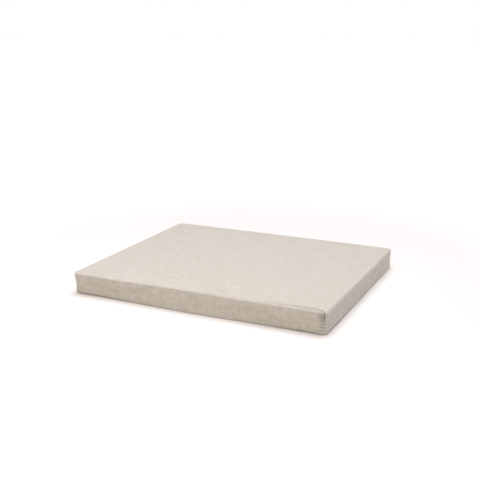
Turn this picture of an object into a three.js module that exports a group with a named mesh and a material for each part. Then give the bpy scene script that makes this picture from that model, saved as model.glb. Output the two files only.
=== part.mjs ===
// A boxed bench cushion in woven linen, lying flat.
// Frame: origin on the surface, under the middle; +X along the long side, +Y to the back, +Z up.
import * as THREE from "three";

// Driving dimensions, in millimetres
const LENGTH = 600;
const DEPTH = 500;
const SEAM_HEIGHT = 47; // upper edge, above the surface
const CROWN = 3; // rise of the top panel at its middle
const CROWN_POWER = 2.6; // 2 is a parabola, more is flatter in the middle
const CORNER_RADIUS = 7; // in plan
const LEAST_RADIUS = 1; // of the corners of the rings inside the outline
const PANEL_THICKNESS = 2;
const GAP = 0.3; // between neighbouring pieces

// Upper seam: the boxing rolls over the edge and ends some way in, where the panel starts.
// The shares are of the seam's inset. A roll or dip is never wider than its greatest size.
const SEAM_INSET = 2; // along the sides, away from the corners
const SEAM_REACH = 320; // distance from a corner over which the inset settles to that
const SEAM_WANDER = 0.4; // the seam runs a little in and out
const WANDER_WAVE = 170; // over this length
const EDGE_HEIGHT = 7; // of the rolled edge
const EDGE_ROLL_MAX = 8; // its width in plan
const EDGE_FOLD = 0.7; // 1 is a round edge, less is a flatter top with a tighter fold
const EDGE_STEP = 0.5; // the boxing lies this much lower than the panel beside it
const EDGE_PUFF_SHARE = 0.06; // and is puffed up by this much of what the inset gains
const SEAM_DIP_MAX = 3; // width of the cloth that turns down into the seam
const SEAM_DIP_SHARE = 0.4;
const SEAM_DEPTH = 0.6; // least depth, to which a share of the inset is added
const SEAM_DEPTH_SHARE = 0.06;
const SEAT_EASE = 1.5; // the seat of the panel is this much lower beside the seam

// The cover has slipped a little over its filling: the panel runs down over the front edge, more at its
// left end, a little over the right edge, and over the back edge towards the corners
const FRONT_DROP = 1.5;
const FRONT_LEFT_DROP = 5.2;
const RIGHT_DROP = 1.2;
const FRONT_DROP_REACH = 340;
const BACK_CORNER_DROP = 1.2;
const DROP_WIDTH = 10; // the edge of the panel that bends down

// Lower seam: the boxing turns under the foot and meets the bottom panel
const FOOT_RADIUS = 2; // away from the corners
const FOOT_LIFT = 0.2; // the turned edge just clears the surface
const FOOT_SEAM_INSET = 2;
const FOOT_SEAM_SHARE = 0.7; // of what the radius gains at a corner, added to the inset
const FOOT_FULL_REACH = 16; // of the part of a corner where its foot is less round
const FOOT_DIP = 1;
const FOOT_DEPTH = 0.5;

// Corners in order round the cushion. seamIn, seamOut: inset of the upper seam on the side that ends
// there and on the side that starts there. head, body: how far the corner is drawn in at the seam and
// below. lift: how far its tip stands up. crease: depth of the upright crease in the boxing.
// foot: how much rounder the foot is near there, how far that reaches along the sides, and the share
// of it that is missing at the corner itself.
const CORNERS = [
  {
    at: "front right",
    seamIn: 11, seamOut: 3.6, head: 0, body: 2.5, lift: 0, crease: 1.4,
    foot: { more: 4.2, reach: 110, missing: 0.9 },
  },
  {
    at: "back right",
    seamIn: 2, seamOut: 2, head: 0.6, body: 6, lift: 0, crease: 0.7,
    foot: { more: 0.5, reach: 40, missing: 0 },
  },
  {
    at: "back left",
    seamIn: 2, seamOut: 2, head: 0, body: 2, lift: 0, crease: 0.7,
    foot: { more: 2.5, reach: 60, missing: 0.5 },
  },
  {
    at: "front left",
    seamIn: 2, seamOut: 1.6, head: 0.8, body: 4.3, lift: 1.5, crease: 0.9,
    foot: { more: 5.2, reach: 150, missing: 0.2 },
  },
];
const CORNER_REACH = 11;
const LIFT_REACH = 10;
const HEAD_FROM = 0.4; // share of the height where a corner starts to change from its body to its head
const HEAD_TO = 0.85;

// How far the middle of each side is drawn in at the upper seam and at the foot, less than 0 is out,
// and how much more at half height
const DRAWN_IN = {
  front: { seam: 1, foot: 1, waist: 0.8 },
  right: { seam: -1.5, foot: 0.2, waist: 2.2 },
  back: { seam: 1.2, foot: 1, waist: 1 },
  left: { seam: 0.8, foot: 0.8, waist: 0.8 },
};

// The filling pushes the foot of the front side out in one place
const FOOT_SWELL = { x: -25, reach: 130, out: 4 };

// Places where the filling stands a little high or low under the top panel
const SWELLS = [
  { x: -110, y: -150, rise: 0.7, reach: 120 },
  { x: 150, y: 60, rise: -0.6, reach: 130 },
  { x: -60, y: 140, rise: 0.5, reach: 110 },
  { x: 210, y: -170, rise: 0.5, reach: 80 },
];

// Fineness of the surfaces
const SIDE_STEP = 22; // spacing of the points along a side
const CORNER_STEPS = 6;
const ROLL_STEPS = 3;
const FOOT_STEPS = 3;
const BOXING_STEPS = 5;
const EDGE_RINGS = [2.5, 5, 9]; // distances in from the seam, where the panel's edge bends
const SHOWN_RINGS = [0.9, 0.8, 0.65, 0.45, 0.22]; // shares of the way from the middle to the seam
const HIDDEN_RINGS = [0.8, 0.45];

const HALF_X = LENGTH / 2;
const HALF_Y = DEPTH / 2;
const HALF_GAP = GAP / 2;
const STRAIGHT_X = HALF_X - CORNER_RADIUS;
const STRAIGHT_Y = HALF_Y - CORNER_RADIUS;

const smooth = (t) => t * t * (3 - 2 * t);
const mix = (a, b, t) => a + (b - a) * t;
const limit = (t) => Math.min(1, Math.max(0, t));
const fading = (distance, reach) => 1 - smooth(limit(distance / reach));
const bell = (distance, reach) => Math.exp(-((distance / reach) ** 2));

// Points round the cushion, counterclockwise from above, starting along the front: each is the centre
// of its rounding, with its outward direction and what the cushion does there.
function rimPoints() {
  const points = [];
  const centres = [[1, -1], [1, 1], [-1, 1], [-1, -1]].map(([sx, sy]) => [sx * STRAIGHT_X, sy * STRAIGHT_Y]);
  let travelled = 0;
  CORNERS.forEach((corner, k) => {
    const before = CORNERS[(k + 3) % 4];
    const [cx, cy] = centres[k];
    const [bx, by] = centres[(k + 3) % 4];
    const side = Math.hypot(cx - bx, cy - by);
    const facing = (k - 1) * (Math.PI / 2); // the direction that the side before this corner faces
    const steps = Math.round(side / SIDE_STEP);
    for (let i = 1; i < steps; i += 1) {
      const t = i / steps;
      points.push({
        x: mix(bx, cx, t),
        y: mix(by, cy, t),
        nx: Math.cos(facing),
        ny: Math.sin(facing),
        seam:
          SEAM_INSET +
          (before.seamOut - SEAM_INSET) * fading(side * t, SEAM_REACH) +
          (corner.seamIn - SEAM_INSET) * fading(side * (1 - t), SEAM_REACH),
        crease: 0,
        travelled: travelled + side * t,
      });
    }
    travelled += side;
    for (let i = 0; i <= CORNER_STEPS; i += 1) {
      const turn = facing + (Math.PI / 2) * (i / CORNER_STEPS);
      points.push({
        x: cx,
        y: cy,
        nx: Math.cos(turn),
        ny: Math.sin(turn),
        seam: mix(corner.seamIn, corner.seamOut, i / CORNER_STEPS),
        crease: i === CORNER_STEPS / 2 ? corner.crease : 0,
        travelled,
      });
    }
  });
  const lengthRound = travelled;
  const waves = Math.round(lengthRound / WANDER_WAVE);
  points.forEach((p) => {
    p.seam += SEAM_WANDER * Math.sin((2 * Math.PI * waves * p.travelled) / lengthRound);
    const puffed = EDGE_PUFF_SHARE * Math.max(0, p.seam - SEAM_INSET);
    p.edge = topHeight(...place(p, p.seam)) - EDGE_STEP + puffed;
    const rounder = CORNERS.reduce((sum, corner, k) => {
      const { more, reach, missing } = corner.foot;
      const away = Math.hypot(p.x - centres[k][0], p.y - centres[k][1]);
      return sum + more * bell(away, reach) * (1 - missing * bell(away, FOOT_FULL_REACH));
    }, 0);
    p.foot = FOOT_RADIUS + rounder;
    p.footSeam = FOOT_SEAM_INSET + FOOT_SEAM_SHARE * rounder;
  });
  return points;
}

// The place in plan at an inset from the outline. The corners' radius shrinks with the inset down to
// its least, and from there on the corners move in.
function place(p, inset) {
  const radius = Math.max(LEAST_RADIUS, CORNER_RADIUS - inset);
  const shift = inset - CORNER_RADIUS + radius;
  return [p.x * (1 - shift / STRAIGHT_X) + p.nx * radius, p.y * (1 - shift / STRAIGHT_Y) + p.ny * radius];
}

// Height of the top panel's upper face over a place in plan: a crown, uneven with the filling, and
// edges that bend down
function topHeight(x, y) {
  const rise = (1 - Math.abs(x / HALF_X) ** CROWN_POWER) * (1 - Math.abs(y / HALF_Y) ** CROWN_POWER);
  const swell = SWELLS.reduce(
    (sum, s) => sum + s.rise * bell(Math.hypot(x - s.x, y - s.y), s.reach),
    0,
  );
  const bend = (fromEdge) => (1 - limit(fromEdge / DROP_WIDTH)) ** 2;
  const frontDrop = FRONT_DROP + FRONT_LEFT_DROP * fading(x + HALF_X, FRONT_DROP_REACH);
  const backDrop = BACK_CORNER_DROP * (x / HALF_X) ** 2;
  const drop =
    frontDrop * bend(HALF_Y + y) + backDrop * bend(HALF_Y - y) + RIGHT_DROP * bend(HALF_X - x);
  return SEAM_HEIGHT + (CROWN + swell) * rise - drop;
}

const RIM = rimPoints();

// The pull of the seams: sides drawn in by an arc between the corners, corners drawn in at the seam and
// more below it, and the foot of the front side pushed out where the filling swells
function settle([x, y, z]) {
  const up = z / SEAM_HEIGHT;
  const pull = (side) => mix(side.foot, side.seam, up) + 4 * side.waist * up * (1 - up);
  const swell = FOOT_SWELL.out * bell(x - FOOT_SWELL.x, FOOT_SWELL.reach);
  const swellY = y < 0 ? swell * Math.max(0, 1 - up) ** 2 : 0;
  const pullX = pull(x > 0 ? DRAWN_IN.right : DRAWN_IN.left) * Math.max(0, 1 - (y / HALF_Y) ** 2);
  const pullY = pull(y > 0 ? DRAWN_IN.back : DRAWN_IN.front) * Math.max(0, 1 - (x / HALF_X) ** 2) - swellY;
  const corner = CORNERS[y < 0 ? (x > 0 ? 0 : 3) : x > 0 ? 1 : 2];
  const away = Math.hypot(HALF_X - Math.abs(x), HALF_Y - Math.abs(y));
  const high = smooth(limit((up - HEAD_FROM) / (HEAD_TO - HEAD_FROM)));
  const tuck = mix(corner.body, corner.head, high) * bell(away, CORNER_REACH);
  const lift = corner.lift * high * bell(away, LIFT_REACH);
  return [
    x * (1 - pullX / HALF_X) - (Math.sign(x) * tuck) / Math.SQRT2,
    y * (1 - pullY / HALF_Y) - (Math.sign(y) * tuck) / Math.SQRT2,
    z + lift,
  ];
}

// A ring of points at an inset from the outline. inset and height are functions of the rim point;
// height also gets the place in plan.
function ring(inset, height) {
  return RIM.map((p) => {
    const [x, y] = place(p, inset(p));
    return settle([x, y, height(p, x, y)]);
  });
}

// Rings inside the seam, at the given shares of the way out from the middle
function innerRings(shares, inset, height) {
  return shares.map((share) =>
    RIM.map((p) => {
      const [x, y] = place(p, inset(p)).map((v) => share * v);
      return settle([x, y, height(x, y)]);
    }),
  );
}

// A closed surface through rings from the middle of the underside out, up and back in to the middle
function skin(low, rings, high) {
  const count = RIM.length;
  const position = [low, ...rings.flat(), high].flat();
  const at = (r, i) => 1 + r * count + (i % count);
  const last = 1 + rings.length * count;
  const index = [];
  for (let i = 0; i < count; i += 1) {
    index.push(0, at(0, i + 1), at(0, i));
    for (let r = 0; r + 1 < rings.length; r += 1) {
      index.push(at(r, i), at(r, i + 1), at(r + 1, i + 1));
      index.push(at(r, i), at(r + 1, i + 1), at(r + 1, i));
    }
    index.push(at(rings.length - 1, i), at(rings.length - 1, i + 1), last);
  }
  const geometry = new THREE.BufferGeometry();
  geometry.setAttribute("position", new THREE.Float32BufferAttribute(position, 3));
  geometry.setIndex(index);
  geometry.computeVertexNormals();
  return geometry;
}

const middle = (z) => [0, 0, z];
const seamDip = (p) => Math.min(SEAM_DIP_MAX, SEAM_DIP_SHARE * p.seam);
const rollWidth = (p) => Math.min(EDGE_ROLL_MAX, p.seam - HALF_GAP - seamDip(p));
const seamDepth = (p) => SEAM_DEPTH + SEAM_DEPTH_SHARE * p.seam;
const topMiddle = topHeight(0, 0);

// The cloth turns into a seam along this quarter round, from its face to the stitches:
// share of the dip's width still to go, and share of the seam's depth reached
const DIP_PROFILE = [
  { across: 1, deep: 0 },
  { across: 0.4, deep: 0.3 },
  { across: 0, deep: 1 },
];
const DIP_OUTWARDS = [...DIP_PROFILE].reverse();

const panelEdge = (p) => p.seam + HALF_GAP;
const footWall = (p) => p.footSeam - HALF_GAP;

// Rings just inside the edge of the top panel
function edgeRings(height) {
  return EDGE_RINGS.map((inside) => ring((p) => panelEdge(p) + inside, (p, x, y) => height(x, y)));
}

// The filled body and its boxing strip, with a shallow seat for each panel
function boxedBody() {
  const seatDepth = PANEL_THICKNESS + GAP;
  const boxingFoot = (p) => FOOT_LIFT + p.foot;
  const footTurn = (p, inset) => Math.asin(1 - inset / p.foot); // 0 straight down, a quarter turn level
  const footHeight = (p, turn) => boxingFoot(p) - p.foot * Math.cos(turn);
  const rings = [ring(footWall, () => seatDepth)];

  for (const step of DIP_OUTWARDS) {
    const inset = (p) => footWall(p) - step.across * FOOT_DIP;
    rings.push(ring(inset, (p) => footHeight(p, footTurn(p, inset(p))) + step.deep * FOOT_DEPTH));
  }
  for (let i = 1; i <= FOOT_STEPS; i += 1) {
    const turn = (p) => mix(footTurn(p, footWall(p) - FOOT_DIP), Math.PI / 2, i / FOOT_STEPS);
    rings.push(ring((p) => p.foot * (1 - Math.sin(turn(p))), (p) => footHeight(p, turn(p))));
  }

  const boxingHead = (p) => p.edge - EDGE_HEIGHT;
  for (let i = 1; i < BOXING_STEPS; i += 1) {
    const t = i / BOXING_STEPS;
    const out = Math.sin(Math.PI * t);
    rings.push(ring((p) => p.crease * out, (p) => mix(boxingFoot(p), boxingHead(p), t)));
  }

  for (let i = 0; i <= ROLL_STEPS; i += 1) {
    const turn = (Math.PI / 2) * (i / ROLL_STEPS);
    const across = 1 - Math.max(0, Math.cos(turn)) ** EDGE_FOLD;
    const up = Math.sin(turn) ** EDGE_FOLD;
    rings.push(ring((p) => rollWidth(p) * across, (p) => boxingHead(p) + EDGE_HEIGHT * up));
  }
  for (const step of DIP_PROFILE) {
    rings.push(
      ring(
        (p) => p.seam - HALF_GAP - step.across * seamDip(p),
        (p) => p.edge - step.deep * seamDepth(p),
      ),
    );
  }

  const wall = (p) => p.seam - HALF_GAP;
  const seat = (x, y) => topHeight(x, y) - seatDepth;
  rings.push(ring(wall, (p, x, y) => seat(x, y) - SEAT_EASE));
  rings.push(ring(panelEdge, (p, x, y) => seat(x, y) - SEAT_EASE));
  rings.push(...edgeRings(seat));
  rings.push(...innerRings(HIDDEN_RINGS, panelEdge, seat));
  return skin(middle(seatDepth), rings, middle(topMiddle - seatDepth));
}

// The top panel: a crowned sheet whose edge turns down into the upper seam
function topPanel() {
  const lower = (x, y) => topHeight(x, y) - PANEL_THICKNESS;
  const rings = innerRings(HIDDEN_RINGS, panelEdge, lower).reverse();
  rings.push(...edgeRings(lower).reverse());
  rings.push(ring(panelEdge, (p, x, y) => lower(x, y)));
  for (const step of DIP_OUTWARDS) {
    rings.push(
      ring(
        (p) => panelEdge(p) + step.across * seamDip(p),
        (p, x, y) => topHeight(x, y) - step.deep * seamDepth(p),
      ),
    );
  }
  rings.push(...edgeRings(topHeight));
  rings.push(...innerRings(SHOWN_RINGS, panelEdge, topHeight));
  return skin(middle(topMiddle - PANEL_THICKNESS), rings, middle(topMiddle));
}

// The bottom panel: a flat sheet on which the cushion rests, its edge turned up into the lower seam
function bottomPanel() {
  const edge = (p) => p.footSeam + HALF_GAP;
  const rings = DIP_PROFILE.map((step) =>
    ring((p) => edge(p) + step.across * FOOT_DIP, () => step.deep * FOOT_DEPTH),
  );
  rings.push(ring(edge, () => PANEL_THICKNESS));
  return skin(middle(0), rings, middle(PANEL_THICKNESS));
}

const LINEN = { roughness: 0.95, metalness: 0 };

function piece(name, geometry, color) {
  const mesh = new THREE.Mesh(geometry, new THREE.MeshStandardMaterial({ ...LINEN, color }));
  mesh.name = name;
  return mesh;
}

const cushion = new THREE.Group();
cushion.add(
  piece("boxed_body", boxedBody(), 0xcdbfae),
  piece("top_panel", topPanel(), 0xddd4ca),
  piece("bottom_panel", bottomPanel(), 0xcdbfae),
);

export default cushion;
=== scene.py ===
"""A boxed bench cushion in woven linen, lying flat in a pale studio."""

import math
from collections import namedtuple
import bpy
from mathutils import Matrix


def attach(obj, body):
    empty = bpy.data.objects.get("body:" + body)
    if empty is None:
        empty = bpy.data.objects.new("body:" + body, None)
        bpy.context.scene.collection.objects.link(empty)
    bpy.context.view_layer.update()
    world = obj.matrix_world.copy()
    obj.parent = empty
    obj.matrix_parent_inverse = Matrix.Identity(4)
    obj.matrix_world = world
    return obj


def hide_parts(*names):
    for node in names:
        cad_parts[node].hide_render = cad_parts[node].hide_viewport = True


bl_info = {
    "name": "Linen bench cushion",
    "version": (1, 0, 0),
    "blender": (4, 5, 0),
    "location": "View3D > Sidebar > Cushion",
    "description": "A boxed cushion in woven linen, lying flat in a pale studio",
    "category": "Add Mesh",
}

from types import SimpleNamespace

import bpy
import numpy as np
from mathutils import Quaternion, Vector

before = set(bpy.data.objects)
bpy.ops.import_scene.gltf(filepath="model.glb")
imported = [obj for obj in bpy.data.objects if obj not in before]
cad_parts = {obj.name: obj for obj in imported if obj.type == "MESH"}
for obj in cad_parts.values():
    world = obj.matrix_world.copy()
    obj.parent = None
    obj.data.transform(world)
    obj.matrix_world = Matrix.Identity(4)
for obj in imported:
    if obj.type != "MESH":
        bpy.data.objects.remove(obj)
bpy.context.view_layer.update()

MM = 0.001
QUARTER = math.pi / 2

# Corners in order round the cushion. seam_in, seam_out: inset of the upper seam on the side that ends
# there and on the side that starts there. head, body: how far the corner is drawn in at the seam and
# below. lift: how far its tip stands up. crease: depth of the upright fold. foot_more, foot_reach: how
# much rounder the foot is near there, and how far along the sides. foot_full: share of that which is
# missing at the corner itself.
Corner = namedtuple("Corner", "at seam_in seam_out head body lift crease foot_more foot_reach foot_full")
CORNERS = (
    Corner("front right", 11.0 * MM, 3.6 * MM, 0.0, 2.5 * MM, 0.0, 1.4 * MM, 4.2 * MM, 110 * MM, 0.9),
    Corner("back right", 2.0 * MM, 2.0 * MM, 3.4 * MM, 4.8 * MM, 0.0, 0.7 * MM, 0.5 * MM, 40 * MM, 0.0),
    Corner("back left", 2.0 * MM, 2.0 * MM, 0.0, 2.0 * MM, 0.0, 0.7 * MM, 2.5 * MM, 60 * MM, 0.5),
    Corner(
        "front left", 2.0 * MM, 1.6 * MM, 0.8 * MM, 4.3 * MM, 1.5 * MM, 0.9 * MM, 5.2 * MM, 150 * MM, 0.2
    ),
)
FRONT_RIGHT, BACK_RIGHT, BACK_LEFT, FRONT_LEFT = range(4)
CORNER_REACH = 11 * MM
LIFT_REACH = 10 * MM
HEAD_FROM = 0.4  # share of the height where a corner starts to change from its body to its head
HEAD_TO = 0.85

# How far the middle of each side is drawn in at the upper seam and at the foot, less than 0 is out, and
# how much more at half height
Pull = namedtuple("Pull", "seam foot waist")
DRAWN_IN = {
    "front": Pull(1.0 * MM, 1.0 * MM, 0.8 * MM),
    "right": Pull(-1.5 * MM, 0.2 * MM, 2.2 * MM),
    "back": Pull(1.2 * MM, 1.0 * MM, 1.0 * MM),
    "left": Pull(0.8 * MM, 0.8 * MM, 0.8 * MM),
}

# The filling pushes the foot of the front side out in one place
FOOT_SWELL = 6.0 * MM
FOOT_SWELL_POWER = 2.4  # 1 leans evenly, more swells lower down
FOOT_SWELL_X = 0.0
FOOT_SWELL_REACH = 130 * MM

# Soft troughs in the boxing, and ridges where depth is less than 0. along is x on the front and back and
# y on the right and left. long and wide are half sizes; turn is from level, in degrees, up towards the
# side's end as seen in order round the cushion.
FRONT, RIGHT, BACK, LEFT = range(4)
Crease = namedtuple("Crease", "side along height long wide turn depth")
CREASES = (
    # The boxing is pinched in under the edge at the front right corner, with gathers across and below
    Crease(FRONT, 294.5, 36.0, 9.0, 2.2, 90, 6.0),
    Crease(FRONT, 290, 36.0, 7.0, 8.5, 0, 3.2),
    Crease(FRONT, 290, 41.5, 8.0, 1.6, 2, 2.4),
    Crease(FRONT, 290, 35.0, 8.0, 1.6, 3, 2.6),
    Crease(FRONT, 290, 29.0, 9.0, 1.7, 2, 3.0),
    Crease(FRONT, 291, 22.5, 9.0, 1.8, -2, 3.4),
    Crease(FRONT, 290, 16.0, 10.0, 1.8, -4, 3.0),
    Crease(FRONT, 287, 8.5, 9.0, 1.7, -4, 2.4),
    Crease(FRONT, 262, 31.0, 22.0, 3.0, 12, 0.8),
    Crease(RIGHT, -232, 33.0, 12.0, 2.6, -14, 0.8),
    Crease(RIGHT, -228, 22.0, 16.0, 2.4, 10, 0.7),
    Crease(RIGHT, -222, 13.0, 18.0, 2.2, 4, 0.6),
    # The upright pleat beside the front left corner
    Crease(FRONT, -291, 20.0, 13.0, 2.0, 90, 1.6),
    # Where the cloth lies slack along the front
    Crease(FRONT, -262, 30.0, 16.0, 3.0, -18, 0.5),
    Crease(FRONT, -205, 25.0, 60.0, 7.0, -7, 0.8),
    Crease(FRONT, -120, 33.0, 40.0, 4.5, 9, 0.6),
    Crease(FRONT, -110, 16.0, 55.0, 5.5, 3, -0.6),
    Crease(FRONT, 5, 36.0, 34.0, 4.0, -8, 0.5),
    Crease(FRONT, 20, 8.0, 70.0, 5.0, 1, -0.8),
    Crease(FRONT, 110, 27.0, 50.0, 6.0, 7, 0.7),
    Crease(FRONT, 205, 20.0, 48.0, 5.5, -6, 0.6),
    Crease(RIGHT, -140, 30.0, 42.0, 5.0, 8, 0.6),
    Crease(RIGHT, -30, 24.0, 52.0, 6.0, -6, 0.7),
    Crease(RIGHT, 90, 30.0, 50.0, 5.5, 6, 0.6),
    Crease(RIGHT, 190, 22.0, 36.0, 5.0, -9, 0.6),
    # The sides that face away, as uneven
    Crease(BACK, 215, 31.0, 40.0, 5.0, 8, 0.6),
    Crease(BACK, 90, 22.0, 60.0, 6.0, -5, 0.7),
    Crease(BACK, -80, 30.0, 55.0, 5.5, 6, 0.6),
    Crease(BACK, -230, 24.0, 34.0, 4.5, -10, 0.7),
    Crease(LEFT, 170, 28.0, 40.0, 5.0, 7, 0.6),
    Crease(LEFT, 20, 22.0, 60.0, 6.0, -6, 0.7),
    Crease(LEFT, -150, 31.0, 42.0, 5.0, 8, 0.6),
    # Short gathers beside the other upright folds
    Crease(RIGHT, 232, 34.0, 12.0, 2.6, 14, 0.7),
    Crease(RIGHT, 230, 20.0, 12.0, 2.4, -8, 0.6),
    Crease(BACK, 286, 32.0, 12.0, 2.6, -12, 0.7),
    Crease(BACK, 284, 18.0, 12.0, 2.4, 8, 0.6),
    Crease(BACK, -286, 33.0, 12.0, 2.6, 12, 0.7),
    Crease(BACK, -284, 19.0, 12.0, 2.4, -8, 0.6),
    Crease(LEFT, 236, 33.0, 12.0, 2.6, -12, 0.7),
    Crease(LEFT, -234, 32.0, 12.0, 2.6, 12, 0.8),
    Crease(LEFT, -232, 20.0, 12.0, 2.4, -8, 0.6),
    Crease(FRONT, -288, 31.0, 10.0, 2.6, -14, 0.8),
    Crease(FRONT, -286, 18.0, 10.0, 2.4, 8, 0.5),
)

# The cover has slipped a little over its filling: the panel runs down over the front edge, more at its
# left end, a little over the right edge, and over the back edge towards the corners
FRONT_DROP = 1.5 * MM
FRONT_LEFT_DROP = 5.2 * MM
RIGHT_DROP = 1.2 * MM
FRONT_DROP_REACH = 340 * MM
BACK_CORNER_DROP = 1.2 * MM
DROP_WIDTH = 10 * MM

# Places where the filling stands a little high or low under the top panel
Swell = namedtuple("Swell", "x y rise reach")
SWELLS = (
    Swell(-110 * MM, -150 * MM, 0.7 * MM, 120 * MM),
    Swell(150 * MM, 60 * MM, -0.6 * MM, 130 * MM),
    Swell(-60 * MM, 140 * MM, 0.5 * MM, 110 * MM),
    Swell(210 * MM, -170 * MM, 0.5 * MM, 80 * MM),
)


class CushionSizes(bpy.types.PropertyGroup):
    length: bpy.props.FloatProperty(
        name="Length", description="Along the long side", default=600 * MM, unit="LENGTH")
    depth: bpy.props.FloatProperty(
        name="Depth", description="From the front to the back", default=500 * MM, unit="LENGTH")
    seam_height: bpy.props.FloatProperty(
        name="Seam height", description="Upper seam above the surface", default=47 * MM, unit="LENGTH")
    crown: bpy.props.FloatProperty(
        name="Crown", description="Rise of the top panel at its middle", default=3 * MM, unit="LENGTH")
    crown_power: bpy.props.FloatProperty(
        name="Crown flatness", description="2 is a parabola, more is flatter in the middle", default=2.6)
    corner_radius: bpy.props.FloatProperty(
        name="Corner radius", description="In plan", default=7 * MM, unit="LENGTH")
    panel_thickness: bpy.props.FloatProperty(
        name="Panel thickness", description="Cloth with its soft backing", default=2 * MM, unit="LENGTH")
    foot_radius: bpy.props.FloatProperty(
        name="Foot radius", description="Of the lower edge, away from the corners", default=1.6 * MM,
        unit="LENGTH")
    foot_seam: bpy.props.FloatProperty(
        name="Foot seam inset", description="Lower seam from the outline", default=1.6 * MM, unit="LENGTH")
    edge_height: bpy.props.FloatProperty(
        name="Edge height", description="Over which the boxing rolls in to the upper edge", default=7 * MM,
        unit="LENGTH")
    seam_inset: bpy.props.FloatProperty(
        name="Seam inset", description="Upper seam from the outline, away from the corners",
        default=2 * MM, unit="LENGTH")
    seam_depth: bpy.props.FloatProperty(
        name="Seam depth", description="Least depth of the seams in the cloth", default=0.6 * MM,
        unit="LENGTH")
    gap: bpy.props.FloatProperty(
        name="Gap", description="Between the pieces at a seam", default=0.3 * MM, unit="LENGTH")
    seam_pucker: bpy.props.FloatProperty(
        name="Seam pucker", description="Height of the ripples beside a seam", default=0.3 * MM,
        unit="LENGTH")


class LinenColours(bpy.types.PropertyGroup):
    thread_light: bpy.props.StringProperty(
        name="Light yarn", description="sRGB hex of the paler yarns", default="D3CCC0")
    thread_dark: bpy.props.StringProperty(
        name="Dark yarn", description="sRGB hex of the darker yarns", default="BDB2A2")
    weave_pitch: bpy.props.FloatProperty(
        name="Weave pitch", description="From one yarn to the next", default=2.0 * MM, unit="LENGTH")


class StudioSettings(bpy.types.PropertyGroup):
    camera_azimuth: bpy.props.FloatProperty(
        name="Azimuth", description="Camera to the right of the front", default=math.radians(24.78),
        subtype="ANGLE")
    camera_elevation: bpy.props.FloatProperty(
        name="Elevation", description="Camera above the surface", default=math.radians(15.66),
        subtype="ANGLE")
    camera_roll: bpy.props.FloatProperty(
        name="Roll", description="Camera turned about its line of sight", default=math.radians(0.14),
        subtype="ANGLE")
    camera_distance: bpy.props.FloatProperty(
        name="Distance", description="Camera from its aim", default=2.216, unit="LENGTH")
    camera_aim: bpy.props.FloatVectorProperty(
        name="Aim", description="Where the camera looks", default=(-0.1449, 0.3088, 0.0),
        subtype="TRANSLATION")
    camera_lens: bpy.props.FloatProperty(
        name="Lens", description="Focal length on a 36 mm sensor, in millimetres", default=59.45)


# Shape of the cushion


def smooth(t):
    """From 0 to 1, level at both ends: three times the square less twice the cube."""
    return t * t * (3 - 2 * t)


def fading(distance, reach):
    """From 1 at no distance to 0 at the reach, level at both ends."""
    return 1 - smooth(np.clip(distance / reach, 0, 1))


def column(name):
    """One measure of all the corners, in their order."""
    return np.array([getattr(corner, name) for corner in CORNERS])


def half_sides(sizes):
    """Half the length and half the depth."""
    return sizes.length / 2, sizes.depth / 2


def side_lengths(sizes):
    """Straight stretches of the front, right, back and left sides."""
    long = sizes.length - 2 * sizes.corner_radius
    short = sizes.depth - 2 * sizes.corner_radius
    return np.array([long, short, long, short])


def nearest_corner(x, y):
    """Number of the corner in the same quarter of the plan."""
    in_front = np.where(x > 0, FRONT_RIGHT, FRONT_LEFT)
    behind = np.where(x > 0, BACK_RIGHT, BACK_LEFT)
    return np.where(y < 0, in_front, behind)


LEAST_RADIUS = 1 * MM  # of the corners of the rings inside the outline
CORNER_SIGN_X = np.array([1, 1, -1, -1])
CORNER_SIGN_Y = np.array([-1, 1, 1, -1])


def place(rim, inset, sizes):
    """Places in plan at an inset from the outline. The corners' radius shrinks with the inset down to its
    least, and from there on the corners move in."""
    half_x, half_y = half_sides(sizes)
    radius = np.maximum(LEAST_RADIUS, sizes.corner_radius - inset)
    shift = inset - sizes.corner_radius + radius
    x = rim.x * (1 - shift / (half_x - sizes.corner_radius)) + rim.nx * radius
    y = rim.y * (1 - shift / (half_y - sizes.corner_radius)) + rim.ny * radius
    return x, y


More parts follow.
